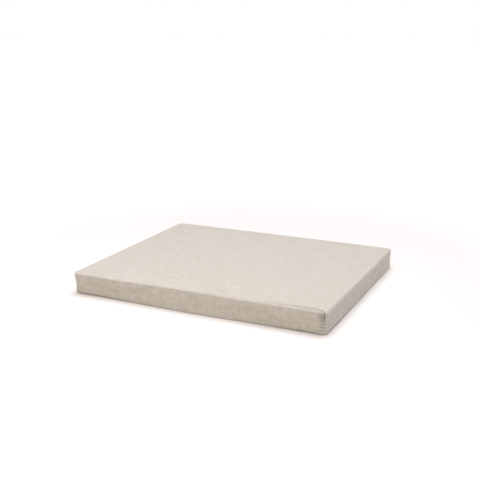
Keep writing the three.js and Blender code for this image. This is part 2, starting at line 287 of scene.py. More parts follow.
def rim_at(s, sizes):
    """Points at the distances s round the cushion, counterclockwise from the left end of the front side:
    straight sides joined by quarter circles. x and y are the centre of the rounding there."""
    radius = sizes.corner_radius
    half_x, half_y = half_sides(sizes)
    sides = side_lengths(sizes)
    runs = np.stack([sides, np.full(4, QUARTER * radius)], axis=1).ravel()
    ends = np.cumsum(runs)
    s = np.mod(s, ends[-1])
    run = np.minimum(np.searchsorted(ends, s, side="right"), len(runs) - 1)
    into = s - (ends - runs)[run]
    k = run // 2
    turning = run % 2 == 1
    t = np.where(turning, 1.0, into / sides[k])
    facing = (k - 1) * QUARTER
    turn = facing + np.where(turning, into / radius, 0.0)
    corners_x = CORNER_SIGN_X * (half_x - radius)
    corners_y = CORNER_SIGN_Y * (half_y - radius)
    left = (1 - t) * sides[k]
    seam_in, seam_out = column("seam_in"), column("seam_out")
    along_side = sizes.seam_inset + (seam_out[k - 1] - sizes.seam_inset) * fading(t * sides[k], SEAM_REACH)
    along_side = along_side + (seam_in[k] - sizes.seam_inset) * fading(left, SEAM_REACH)
    round_corner = seam_in[k] + (seam_out[k] - seam_in[k]) * into / (QUARTER * radius)
    travelled = (np.cumsum(sides) - sides)[k] + t * sides[k]
    seam = np.where(turning, round_corner, along_side) + seam_wander(travelled, sides.sum())
    x = corners_x[k] - left * np.cos(facing + QUARTER)
    y = corners_y[k] - left * np.sin(facing + QUARTER)
    arc = QUARTER * radius
    to_next = np.where(turning, arc / 2 - into, left + arc / 2)
    from_last = np.where(turning, 1.0, into + arc / 2)
    after = ~turning & (from_last < to_next)
    foot_more = 0.0
    for corner, cx, cy in zip(CORNERS, corners_x, corners_y):
        away = np.hypot(x - cx, y - cy)
        fuller = 1 - corner.foot_full * np.exp(-((away / FOOT_FULL_REACH) ** 2))
        foot_more = foot_more + corner.foot_more * fuller * np.exp(-((away / corner.foot_reach) ** 2))
    rim = SimpleNamespace(
        s=s,
        x=x,
        y=y,
        nx=np.cos(turn),
        ny=np.sin(turn),
        seam=seam,
        straight=np.minimum(t, 1 - t) * sides[k],
        corner=np.where(after, k - 1, k) % 4,
        foot=sizes.foot_radius + foot_more,
        foot_seam=sizes.foot_seam + FOOT_SEAM_SHARE * foot_more,
        from_corner=np.where(turning, np.abs(into - arc / 2), np.minimum(from_last, to_next)),
    )
    puffed = EDGE_PUFF_SHARE * np.maximum(0, seam - sizes.seam_inset)
    rim.edge = top_height(*place(rim, seam, sizes), sizes) - EDGE_STEP + puffed
    return rim


SEAM_REACH = 320 * MM  # distance from a corner over which the seam's inset settles
SEAM_WANDER = 0.4 * MM
WANDER_WAVE = 170 * MM
EDGE_STEP = 0.5 * MM  # the boxing lies this much lower than the panel beside it
EDGE_PUFF_SHARE = 0.06  # and is puffed up by this much of what the inset gains


def seam_wander(travelled, around):
    """The seam runs a little in and out, in whole waves round the cushion."""
    waves = round(around / WANDER_WAVE)
    return SEAM_WANDER * np.sin(2 * math.pi * waves * travelled / around)


def rim_length(sizes):
    """Way round the outline: the four sides and the four quarter circles."""
    return side_lengths(sizes).sum() + 4 * QUARTER * sizes.corner_radius


def round_distance(s, place_of, around):
    """Distance along the outline from one place to another, the shorter way; less than 0 is behind."""
    return np.mod(s - place_of + around / 2, around) - around / 2


def rim_near(x, y, sizes):
    """Distance in from the outline, and place round it, of points in plan."""
    radius = sizes.corner_radius
    half_x, half_y = half_sides(sizes)
    sides = side_lengths(sizes)
    arc = QUARTER * radius
    over_x, over_y = np.abs(x) - (half_x - radius), np.abs(y) - (half_y - radius)
    outside = np.hypot(np.maximum(over_x, 0), np.maximum(over_y, 0))
    depth = radius - outside - np.minimum(np.maximum(over_x, over_y), 0)
    starts = np.cumsum(sides + arc) - (sides + arc)
    along_x = np.clip(x + sides[0] / 2, 0, sides[0])
    along_y = np.clip(y + sides[1] / 2, 0, sides[1])
    across = over_x > over_y
    travel = np.where(
        across,
        np.where(x > 0, starts[1] + along_y, starts[3] + sides[3] - along_y),
        np.where(y < 0, starts[0] + along_x, starts[2] + sides[2] - along_x),
    )
    in_corner = (over_x > 0) & (over_y > 0)
    corner = nearest_corner(x, y)
    turn = np.arctan2(y - np.sign(y) * (half_y - radius), x - np.sign(x) * (half_x - radius))
    turned = np.mod(turn - (corner - 1) * QUARTER, 4 * QUARTER)
    travel = np.where(in_corner, starts[corner] + sides[corner] + radius * turned, travel)
    return depth, travel


def top_height(x, y, sizes):
    """Upper face of the top panel. The crown is a flat-topped arch along times one across, with a bell
    curve added for each swell of the filling. Each edge bends down by the square of the nearness to it."""
    half_x, half_y = half_sides(sizes)
    rise = (1 - np.abs(x / half_x) ** sizes.crown_power) * (1 - np.abs(y / half_y) ** sizes.crown_power)
    swell = sum(s.rise * np.exp(-((x - s.x) ** 2 + (y - s.y) ** 2) / s.reach**2) for s in SWELLS)
    front = (1 - np.clip((half_y + y) / DROP_WIDTH, 0, 1)) ** 2
    back = (1 - np.clip((half_y - y) / DROP_WIDTH, 0, 1)) ** 2
    drop = (FRONT_DROP + FRONT_LEFT_DROP * fading(x + half_x, FRONT_DROP_REACH)) * front
    right = (1 - np.clip((half_x - x) / DROP_WIDTH, 0, 1)) ** 2
    drop = drop + BACK_CORNER_DROP * (x / half_x) ** 2 * back + RIGHT_DROP * right
    return sizes.seam_height + (sizes.crown + swell) * rise - drop


def drawn_in(x, y, z, sizes):
    """The pull of the seams: each side drawn in by an arc between its corners, corners drawn in at the
    seam and more below it, and the foot of the front side pushed out where the filling swells."""
    half_x, half_y = half_sides(sizes)
    up = z / sizes.seam_height

    def pull(side):
        seam, foot, waist = DRAWN_IN[side]
        return foot + (seam - foot) * up + 4 * waist * up * (1 - up)

    pull_x = np.where(x > 0, pull("right"), pull("left")) * np.maximum(0, 1 - (y / half_y) ** 2)
    pull_y = np.where(y > 0, pull("back"), pull("front")) * np.maximum(0, 1 - (x / half_x) ** 2)
    swell = FOOT_SWELL * np.exp(-(((x - FOOT_SWELL_X) / FOOT_SWELL_REACH) ** 2))
    swell = swell * np.maximum(0, 1 - up) ** FOOT_SWELL_POWER
    pull_y = pull_y - np.where(y < 0, swell, 0)
    corner = nearest_corner(x, y)
    away = np.hypot(half_x - np.abs(x), half_y - np.abs(y))
    high = smooth(np.clip((up - HEAD_FROM) / (HEAD_TO - HEAD_FROM), 0, 1))
    head, body = column("head")[corner], column("body")[corner]
    tuck = (body + (head - body) * high) * np.exp(-((away / CORNER_REACH) ** 2))
    lift = column("lift")[corner] * high * np.exp(-((away / LIFT_REACH) ** 2))
    return np.stack(
        [
            x * (1 - pull_x / half_x) - np.sign(x) * tuck / math.sqrt(2),
            y * (1 - pull_y / half_y) - np.sign(y) * tuck / math.sqrt(2),
            z + lift,
        ],
        axis=-1,
    )


EDGE_ROLL_MAX = 8 * MM  # width of the boxing rolled over the upper edge
EDGE_FOLD = 0.7  # 1 is a round edge, less is a flatter top with a tighter fold
SEAM_DIP_MAX = 3.0 * MM  # width of the cloth that turns down into the seam
SEAM_DIP_SHARE = 0.4
SEAM_DEPTH_SHARE = 0.15  # of the seam's inset, added to the least depth
DIP_POWER = 2.2
FOOT_LIFT = 0.2 * MM
FOOT_FULL_REACH = 16 * MM
FOOT_SEAM_SHARE = 0.7  # of what the foot's radius gains at a corner, added to the seam's inset
FOOT_DIP = 1.0 * MM
FOOT_DEPTH = 0.5 * MM


def roll_width(seam, sizes):
    """How far the boxing rolls in over the edge: up to the seam's dip, within a limit."""
    return np.minimum(EDGE_ROLL_MAX, seam - sizes.gap / 2 - seam_dip(seam))


def seam_dip(seam):
    """Width of the cloth that turns down into a seam: a share of its inset, within a limit."""
    return np.minimum(SEAM_DIP_MAX, SEAM_DIP_SHARE * seam)


def seam_depth(seam, sizes):
    """Depth of a seam: the least depth and a share of its inset."""
    return sizes.seam_depth + SEAM_DEPTH_SHARE * seam


def dip(share):
    """How deep the cloth has turned into a seam, 1 at the stitches and 0 where it starts to turn."""
    return np.clip(1 - share, 0, 1) ** DIP_POWER


def ripples(along, pitch, seed):
    """Uneven waves from -1 to 1: a sine whose phase is pushed to and fro by two slower ones."""
    turn = 2 * math.pi * along / pitch
    return np.sin(turn + 1.4 * np.sin(turn / 3.7 + seed) + 0.9 * np.sin(turn / 7.3 + 2.1 * seed))


# Meshes


def new_piece(name, points, faces, uv=None, painted_shade=None):
    """A mesh object from points and faces, smooth, with an optional map of its cloth laid flat and an
    optional share of painted shade, 0 to 1 at each point, that darkens it where it lies in a seam or a
    fold."""
    mesh = bpy.data.meshes.new(name)
    mesh.from_pydata(points.reshape(-1, 3).tolist(), [], [f.tolist() for f in faces])
    mesh.update()
    if uv is not None:
        corner_vertex = np.zeros(len(mesh.loops), np.int32)
        mesh.loops.foreach_get("vertex_index", corner_vertex)
        layer = mesh.uv_layers.new(name="cloth")
        layer.data.foreach_set("uv", uv.reshape(-1, 2)[corner_vertex].astype(np.float32).ravel())
    # painted shade: this share darkens the cloth's colour in its material
    if painted_shade is not None:
        layer = mesh.attributes.new("painted_shade", "FLOAT", "POINT")
        layer.data.foreach_set("value", painted_shade.astype(np.float32).ravel())
    mesh.shade_smooth()
    piece = bpy.data.objects.new(name, mesh)
    bpy.context.scene.collection.objects.link(piece)
    return piece


def grid_faces(rows, columns, start=0, closed=False, flipped=False):
    """Quads between neighbouring rows of a grid of points; closed joins the last column to the first."""
    i, j = np.meshgrid(np.arange(rows - 1), np.arange(columns if closed else columns - 1), indexing="ij")
    right = (j + 1) % columns
    below, above = i * columns, (i + 1) * columns
    quads = np.stack([below + j, below + right, above + right, above + j], -1).reshape(-1, 4) + start
    return quads[:, ::-1] if flipped else quads


def fan_faces(ring, apex, flipped=False):
    """Triangles from each step of a closed ring of point numbers to one point."""
    fans = np.stack([ring, np.roll(ring, -1), np.full(len(ring), apex)], -1)
    return fans[:, ::-1] if flipped else fans


# Seam places


CORNER_STEP = 1.0 * MM
SIDE_STEP = 2.2 * MM
FINE_REACH = 22 * MM  # of the closer steps, from each corner
# Places of the first points in from the edge of a panel
EDGE_PLACES = np.array([0, 0.35, 0.8, 1.35, 2.0, 2.9, 4.1, 5.7, 7.8, 10.3]) * MM


def rim_samples(sizes):
    """Distances round the outline, close together at the corners and wider along the sides."""
    arc = QUARTER * sizes.corner_radius
    samples, start = [], 0.0
    for side in side_lengths(sizes):
        near = np.arange(0, FINE_REACH, CORNER_STEP)
        steps = round((side - 2 * FINE_REACH) / SIDE_STEP)
        middle = np.linspace(FINE_REACH, side - FINE_REACH, steps)
        turn = np.linspace(0, arc, round(arc / CORNER_STEP), endpoint=False)
        samples += [start + near, start + middle[:-1]]
        samples += [start + side - FINE_REACH + near, start + side + turn]
        start += side + arc
    return np.concatenate(samples)


def edge_spaced(length, step):
    """Shares from 0 to 1 along a length, close together at both ends."""
    near, last = EDGE_PLACES[:-1], EDGE_PLACES[-1]
    middle = np.linspace(last, length - last, round((length - 2 * last) / step) + 1)
    return np.concatenate([near, middle, (length - near)[::-1]]) / length


def panel_plan(edge_inset, step, sizes):
    """Points in plan that fill a panel, blended between its four edges as a Coons patch: the sum of the
    blends between opposite edges, less the blend between the four corners."""
    arc = QUARTER * sizes.corner_radius
    sides = side_lengths(sizes)
    p = edge_spaced(sides[0], step)
    q = edge_spaced(sides[1], step)

    def edge(s):
        rim = rim_at(s, sizes)
        inset = edge_inset(rim)
        return np.stack(place(rim, inset, sizes), -1)

    starts = np.cumsum(sides + arc) - (sides + arc)
    front = edge(starts[0] - arc / 2 + p * (sides[0] + arc))
    right = edge(starts[1] - arc / 2 + q * (sides[1] + arc))
    back = edge(starts[2] - arc / 2 + (1 - p) * (sides[2] + arc))
    left = edge(starts[3] - arc / 2 + (1 - q) * (sides[3] + arc))
    u, v = p[None, :, None], q[:, None, None]
    blend = (1 - v) * front[None] + v * back[None] + (1 - u) * left[:, None] + u * right[:, None]
    corners = (
        (1 - u) * (1 - v) * front[0] + u * (1 - v) * front[-1] + (1 - u) * v * back[0] + u * v * back[-1]
    )
    plan = blend - corners
    return plan[..., 0], plan[..., 1]


def border(rows, columns):
    """Point numbers round the edge of a grid, counterclockwise, each once."""
    number = np.arange(rows * columns).reshape(rows, columns)
    return np.concatenate([number[0], number[1:, -1], number[-1, -2::-1], number[-2:0:-1, 0]])


PANEL_STEP = 3 * MM
PUCKER_PITCH = 11 * MM
PUCKER_REACH = 8 * MM
PUCKER_SLOW = 150 * MM
PUCKER_SLOW_SHARE = 0.35  # of a ripple's height that comes and goes
PUCKER_CALM = 0.5  # how soon the ripples fade where the seam's inset grows
PUCKER_CORNER_FADE = 18 * MM


def seam_puckers(travel, depth, rim, sizes, seed):
    """Ripples across a seam that fade with the distance from it and come and go along it."""
    slow = 1 - PUCKER_SLOW_SHARE + PUCKER_SLOW_SHARE * ripples(travel, PUCKER_SLOW, seed + 4)
    calm = 1 / (1 + (PUCKER_CALM * rim.seam / sizes.seam_inset) ** 2)
    fade = np.exp(-((depth / PUCKER_REACH) ** 2))
    fade = fade * smooth(np.clip(rim.straight / PUCKER_CORNER_FADE, 0, 1))
    return sizes.seam_pucker * slow * calm * fade * ripples(travel, PUCKER_PITCH, seed)


def closed_sheet(name, upper, lower, uv, painted_shade=None):
    """A sheet from two grids of points, joined round their edges."""
    rows, columns = upper.shape[:2]
    count = rows * columns
    rim = border(rows, columns)
    wall = np.stack([rim + count, np.roll(rim, -1) + count, np.roll(rim, -1), rim], -1)
    faces = [
        *grid_faces(rows, columns),
        *grid_faces(rows, columns, start=count, flipped=True),
        *wall,
    ]
    points = np.concatenate([upper.reshape(-1, 3), lower.reshape(-1, 3)])
    # painted shade: the same share on both faces of the sheet
    shade = np.zeros(upper.shape[:2]) if painted_shade is None else painted_shade
    both = np.concatenate([shade.ravel(), shade.ravel()])
    return new_piece(name, points, faces, np.concatenate([uv.reshape(-1, 2)] * 2), both)


def finish_piece(piece, node, finish, colours, patchy):
    """Gives a piece its linen, which patchy times its own tone varies in patches, and its frame facts."""
    piece.data.materials.append(bpy.data.materials.get(finish) or woven_linen(finish, colours, patchy))
    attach(piece, "root")
    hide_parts(node)


# Materials


def hex_colour(text):
    """Linear colour, with alpha, of an sRGB hex value."""
    values = [int(text[i : i + 2], 16) / 255 for i in (0, 2, 4)]
    return [v / 12.92 if v <= 0.04045 else ((v + 0.055) / 1.055) ** 2.4 for v in values] + [1.0]


def add(tree, kind, inputs=None, **settings):
    """Adds a node, with its settings. Each input gets a value, or a link from an output or from a node's
    first output."""
    node = tree.nodes.new("ShaderNode" + kind)
    for key, value in settings.items():
        setattr(node, key, value)
    for key, value in (inputs or {}).items():
        if isinstance(value, bpy.types.Node):
            value = value.outputs[0]
        if isinstance(value, bpy.types.NodeSocket):
            tree.links.new(value, node.inputs[key])
        else:
            node.inputs[key].default_value = value
    return node


PANEL_PATCHY = 0.3  # how much the cloth's tone varies in patches of about 14 mm
BOXING_PATCHY = 1.0

# Lengths over which a yarn changes along itself, and steps in the noise from one yarn to the next, wide
# enough that neighbours are unlike
TONE_LENGTH = 18 * MM
TONE_STEP = 5.37
SLUB_LENGTH = 9 * MM
SLUB_STEP = 7.13
YARN_SEEDS = {"warp": 3.0, "weft": 17.0}
SLUB_SEED = 5  # added to the yarn's own
SLUB_FROM = 0.6  # the noise at which a slub starts
SLUB_FULL = 0.78
YARN_ROUND = 0.6  # 1 is a sine across a yarn, less is a flatter top
CROWN_FALL = 0.4  # share of a yarn's height that is lost where it goes under the next

# Noise over the whole cloth: patches to the metre, detail and roughness
Noise = namedtuple("Noise", "scale detail roughness")
MOTTLE = Noise(14.0, 3.0, 0.6)  # about 70 mm
PATCH = Noise(70.0, 2.0, 0.5)  # about 14 mm
FIBRE = Noise(900.0, 3.0, 0.7)  # about 1 mm: real fibres are too fine to show

# What each adds to the tone from the dark yarn, 0, to the light one, 1
MEAN_TONE = 0.5
TONE_GAIN = 2.6
FIBRE_GAIN = 0.5
MOTTLE_GAIN = 0.5
SLUB_GAIN = 0.25

YARN_GAP_PAINTED_LIGHT = 0.8  # painted shade: share of the colour kept between the yarns, to which their crowns add
CROWN_PAINTED_LIGHT = 0.22
FOLD_PAINTED_SHADE = 0.32  # painted shade: share of the colour that is lost in a deep fold

# Relief of the slubs and fibres, in shares of a yarn's crown
SLUB_RISE = 0.35
FIBRE_RISE = 0.3
BUMP_STRENGTH = 0.55
BUMP_DEPTH = 0.35 * MM
BLOOM = "FDFEFF"  # sRGB hex of the sheen


def woven_linen(name, colours, patchy):
    """Natural linen in plain weave. To the eye: matt, pale beige, each yarn a slightly other tone along
    its length, with thicker slubs, a fine grid of yarns over and under, and a faint bloom at a low
    angle."""
    material = bpy.data.materials.new(name)
    material.use_nodes = True
    tree = material.node_tree
    tree.nodes.clear()

    # The real yarns lie about 1 mm apart. They are drawn at the pitch given, which is wider, so that they
    # show in the picture
    cloth = add(tree, "UVMap", uv_map="cloth")
    parts = add(tree, "SeparateXYZ", {0: cloth})
    along = {"warp": parts.outputs[1], "weft": parts.outputs[0]}
    across = {"warp": parts.outputs[0], "weft": parts.outputs[1]}
    wave, round_yarn, tone, slub = {}, {}, {}, {}
    for key, seed in YARN_SEEDS.items():
        count = add(tree, "Math", {0: across[key], 1: colours.weave_pitch}, operation="DIVIDE")
        turn = add(tree, "Math", {0: count, 1: math.pi}, operation="MULTIPLY")
        wave[key] = add(tree, "Math", {0: turn}, operation="SINE")
        height = add(tree, "Math", {0: wave[key]}, operation="ABSOLUTE")
        round_yarn[key] = add(tree, "Math", {0: height, 1: YARN_ROUND}, operation="POWER")

        number = add(tree, "Math", {0: count}, operation="FLOOR")
        step = add(tree, "Math", {0: number, 1: TONE_STEP}, operation="MULTIPLY")
        run = add(tree, "Math", {0: along[key], 1: TONE_LENGTH}, operation="DIVIDE")
        yarn = add(tree, "CombineXYZ", {0: step, 1: run, 2: seed})
        tone[key] = add(tree, "TexNoise", {"Vector": yarn, "Scale": 1.0, "Detail": 2.0})

        step = add(tree, "Math", {0: number, 1: SLUB_STEP}, operation="MULTIPLY")
        run = add(tree, "Math", {0: along[key], 1: SLUB_LENGTH}, operation="DIVIDE")
        yarn = add(tree, "CombineXYZ", {0: step, 1: run, 2: seed + SLUB_SEED})
        thick = add(tree, "TexNoise", {"Vector": yarn, "Scale": 1.0, "Detail": 0.0})
        slub[key] = add(
            tree, "MapRange", {"Value": thick, "From Min": SLUB_FROM, "From Max": SLUB_FULL},
            interpolation_type="SMOOTHSTEP",
        )

    # The warp lies on top in every other square of the weave, and the weft in the rest
    parity = add(tree, "Math", {0: wave["warp"], 1: wave["weft"]}, operation="MULTIPLY")
    warp_on_top = add(tree, "Math", {0: parity, 1: 0.0}, operation="GREATER_THAN")
    rounded = {}
    for key, other in (("warp", "weft"), ("weft", "warp")):
        kept = add(
            tree, "Math", {0: round_yarn[other], 1: CROWN_FALL, 2: 1 - CROWN_FALL},
            operation="MULTIPLY_ADD",
        )
        rounded[key] = add(tree, "Math", {0: round_yarn[key], 1: kept}, operation="MULTIPLY")
    yarn_tone, yarn_slub, crown = (
        add(tree, "Mix", {0: warp_on_top, 2: each["weft"], 3: each["warp"]}, data_type="FLOAT")
        for each in (tone, slub, rounded)
    )

    mottle, patch, fibre = (
        add(
            tree, "TexNoise",
            {"Vector": cloth, "Scale": noise.scale, "Detail": noise.detail, "Roughness": noise.roughness},
        )
        for noise in (MOTTLE, PATCH, FIBRE)
    )
    shade = MEAN_TONE
    gains = ((yarn_tone, TONE_GAIN), (fibre, FIBRE_GAIN), (mottle, MOTTLE_GAIN), (patch, patchy))
    for source, gain in gains:
        change = add(tree, "Math", {0: source, 1: MEAN_TONE}, operation="SUBTRACT")
        shade = add(tree, "Math", {0: change, 1: gain, 2: shade}, operation="MULTIPLY_ADD")
    shade = add(tree, "Math", {0: yarn_slub, 1: SLUB_GAIN, 2: shade}, operation="MULTIPLY_ADD")
    colour = add(
        tree, "Mix",
        {0: shade, 6: hex_colour(colours.thread_dark), 7: hex_colour(colours.thread_light)},
        data_type="RGBA", clamp_factor=True,
    ).outputs[2]

    # Painted shade: the colour is darkened in the hollows between yarns, in the folds and beside the
    # seams, where less light reaches
    painted_shade_share = add(tree, "Attribute", attribute_name="painted_shade").outputs["Fac"]
    unshaded_share = add(tree, "Math", {0: painted_shade_share, 1: -FOLD_PAINTED_SHADE, 2: 1.0}, operation="MULTIPLY_ADD")
    # painted shade between the yarns: the colour is darker where a yarn's crown is low
    light = add(tree, "Math", {0: crown, 1: CROWN_PAINTED_LIGHT, 2: YARN_GAP_PAINTED_LIGHT}, operation="MULTIPLY_ADD")
    painted_shade_factor = add(tree, "Math", {0: light, 1: unshaded_share}, operation="MULTIPLY")
    colour = add(
        tree, "Mix", {0: 1.0, 6: colour, 7: painted_shade_factor}, data_type="RGBA", blend_type="MULTIPLY"
    ).outputs[2]

    height = add(tree, "Math", {0: yarn_slub, 1: SLUB_RISE, 2: crown}, operation="MULTIPLY_ADD")
    height = add(tree, "Math", {0: fibre, 1: FIBRE_RISE, 2: height}, operation="MULTIPLY_ADD")
    bump = add(tree, "Bump", {"Strength": BUMP_STRENGTH, "Distance": BUMP_DEPTH, "Height": height})

    # Roughness and IOR are a matt cloth's, and the sheen is its bloom
    shader = add(
        tree, "BsdfPrincipled",
        {"Base Color": colour, "Normal": bump, "Roughness": 0.85, "IOR": 1.5, "Sheen Weight": 0.4,
         "Sheen Roughness": 0.55, "Sheen Tint": hex_colour(BLOOM)},
    )
    add(tree, "OutputMaterial", {"Surface": shader})
    return material


# Pieces


class CUSHION_OT_top_panel(bpy.types.Operator):
    """Top panel: a crowned sheet that turns down into the upper seam all round"""

    bl_idname = "cushion.top_panel"
    bl_label = "Top panel"

    def execute(self, context):
        sizes = context.scene.cushion
        half_gap = sizes.gap / 2
        x, y = panel_plan(lambda rim: rim.seam + half_gap, PANEL_STEP, sizes)
        depth, travel = rim_near(x, y, sizes)
        rim = rim_at(travel, sizes)
        inside = np.maximum(0, depth - rim.seam - half_gap)
        face = top_height(x, y, sizes)
        turned = seam_depth(rim.seam, sizes) * dip(inside / seam_dip(rim.seam))
        lower = drawn_in(x, y, face - sizes.panel_thickness - turned, sizes)
        pucker = seam_puckers(travel, inside, rim, sizes, seed=1)
        upper = drawn_in(x, y, face - turned + pucker, sizes)
        uv = np.stack([x, y], -1)
        # painted shade beside the upper seam darkens the panel's colour there
        piece = closed_sheet("top_panel_cloth", upper, lower, uv, seam_painted_shade(rim, inside, sizes))
        finish_piece(piece, "top_panel", "linen_top", context.scene.linen, PANEL_PATCHY)
        return {"FINISHED"}


class CUSHION_OT_bottom_panel(bpy.types.Operator):
    """Bottom panel: a flat sheet on which the cushion rests"""

    bl_idname = "cushion.bottom_panel"
    bl_label = "Bottom panel"

    def execute(self, context):
        sizes = context.scene.cushion
        x, y = panel_plan(lambda rim: rim.foot_seam + sizes.gap / 2, 2 * PANEL_STEP, sizes)
        depth, travel = rim_near(x, y, sizes)
        inside = np.maximum(0, depth - rim_at(travel, sizes).foot_seam - sizes.gap / 2)
        turned = FOOT_DEPTH * dip(inside / FOOT_DIP)
        lower = drawn_in(x, y, turned, sizes)
        upper = drawn_in(x, y, np.full_like(x, sizes.panel_thickness), sizes)
        piece = closed_sheet("bottom_panel_cloth", upper, lower, np.stack([x, y], -1))
        finish_piece(piece, "bottom_panel", "linen_top", context.scene.linen, PANEL_PATCHY)
        return {"FINISHED"}


FOOT_RINGS = 6
BOXING_RINGS = 30
ROLL_RINGS = 10
DIP_RINGS = 7
SEAT_SHARES = (0.97, 0.75, 0.4)
SEAT_EASE = 2.8 * MM  # the seat of the top panel is this much lower beside the seam
CREASE_WIDTH = 1.5 * MM
UNEVEN_WAVE = 75 * MM
UNEVEN = 0.35 * MM
UNEVEN_FINE_WAVE = 26 * MM
UNEVEN_FINE = 0.12 * MM
UNEVEN_FINE_SLANT = 0.8  # sideways run for each step up
DEEP_FOLD = 3.6 * MM  # a trough of this depth gets the full painted shade
SEAM_SHADE_INSET = 8.5 * MM  # a seam that lies this much further in than the others gets the full painted shade beside it
SEAM_SHADE_POWER = 4
SEAM_SHADE_REACH = 5.0 * MM


class CUSHION_OT_boxed_body(bpy.types.Operator):
    """Boxed body: the boxing strip round the filling, rolled over the upper edge and under the foot"""

    bl_idname = "cushion.boxed_body"
    bl_label = "Boxed body"

    def execute(self, context):
        sizes = context.scene.cushion
        rim = rim_at(rim_samples(sizes), sizes)
        rings = profile_rings(rim, sizes)
        points = np.stack([drawn_in(x, y, z, sizes) for x, y, z in rings])
        count = len(rim.s)
        rows = len(rings)
        run = np.linalg.norm(np.diff(points, axis=0), axis=-1).mean(axis=1)
        up = np.concatenate([[0], np.cumsum(run)])
        uv = np.stack(np.broadcast_arrays(rim.s[None, :], up[:, None]), -1)
        seat = sizes.panel_thickness + sizes.gap
        seat_low = 2 * seat
        seat_high = top_height(0.0, 0.0, sizes) - seat
        ends = np.array([[0, 0, seat_low], [0, 0, seat_high]])
        # painted shade: darkening of the boxing's colour in its folds and beside the upper seam
        painted_shade = np.stack([boxing_painted_shade(rim, x, y, z, sizes) for x, y, z in rings])
        faces = [
            *grid_faces(rows, count, closed=True),
            *fan_faces(np.arange(count), rows * count, flipped=True),
            *fan_faces(np.arange(count) + (rows - 1) * count, rows * count + 1),
        ]
        points = np.concatenate([points.reshape(-1, 3), ends])
        uv = np.concatenate([uv.reshape(-1, 2), np.zeros((2, 2))])
        painted_shade = np.concatenate([painted_shade.ravel(), np.zeros(2)])
        piece = new_piece("boxed_body_cloth", points, faces, uv, painted_shade)
        finish_piece(piece, "boxed_body", "linen_boxing", context.scene.linen, BOXING_PATCHY)
        return {"FINISHED"}


def boxing_relief(rim, z, sizes):
    """How far the boxing stands out at height z: upright folds at the corners, the creases of the slack
    cloth, puckers beside the seams and the unevenness of the filling."""
    t = np.clip(z / rim.edge, 0, 1)
    swell = np.sin(math.pi * t)
    crease = column("crease")[rim.corner] * np.exp(-((rim.from_corner / CREASE_WIDTH) ** 2)) * swell
    troughs = sum(crease_depth(c, rim.s, z, sizes) for c in CREASES)
    under_top = seam_puckers(rim.s, rim.edge - z, rim, sizes, seed=2)
    over_foot = seam_puckers(rim.s, z, rim, sizes, seed=5)
    uneven = UNEVEN * swell * ripples(rim.s + z, UNEVEN_WAVE, 3.0)
    uneven = uneven + UNEVEN_FINE * swell * ripples(rim.s - UNEVEN_FINE_SLANT * z, UNEVEN_FINE_WAVE, 7.0)
    return under_top + over_foot + uneven - crease - troughs


def boxing_painted_shade(rim, x, y, z, sizes):
    """Share of painted shade on the boxing, where it lies in a fold or beside the upper seam: the depth of
    the troughs there as a share of a deep fold's, and a part that fades with the distance from a seam that
    lies well in."""
    troughs = sum(crease_depth(c, rim.s, z, sizes) for c in CREASES)
    depth, _ = rim_near(x, y, sizes)
    beside = seam_painted_shade(rim, np.abs(rim.seam - depth), sizes)
    high = z > rim.edge - sizes.edge_height
    return np.clip(troughs / DEEP_FOLD + np.where(high, beside, 0), 0, 1)


def seam_painted_shade(rim, distance, sizes):
    """Painted shade beside the upper seam, fading with the distance from it, and only where it lies well
    in.
    """
    wide = np.clip((rim.seam - sizes.seam_inset) / SEAM_SHADE_INSET, 0, 1)
    return wide**SEAM_SHADE_POWER * np.exp(-distance / SEAM_SHADE_REACH)


def crease_depth(crease, s, z, sizes):
    """A soft trough: a bell curve across and along it, turned from level."""
    sides = side_lengths(sizes)
    arc = QUARTER * sizes.corner_radius
    start = (np.cumsum(sides + arc) - (sides + arc))[crease.side]
    backwards = crease.side in (BACK, LEFT)
    along = crease.along * MM * (-1 if backwards else 1) + sides[crease.side] / 2
    ds = round_distance(s, start + along, rim_length(sizes))
    dz = z - crease.height * MM
    turn = math.radians(crease.turn)
    u = (ds * math.cos(turn) + dz * math.sin(turn)) / (crease.long * MM)
    v = (dz * math.cos(turn) - ds * math.sin(turn)) / (crease.wide * MM)
    return crease.depth * MM * np.exp(-(u**2) - v**2)


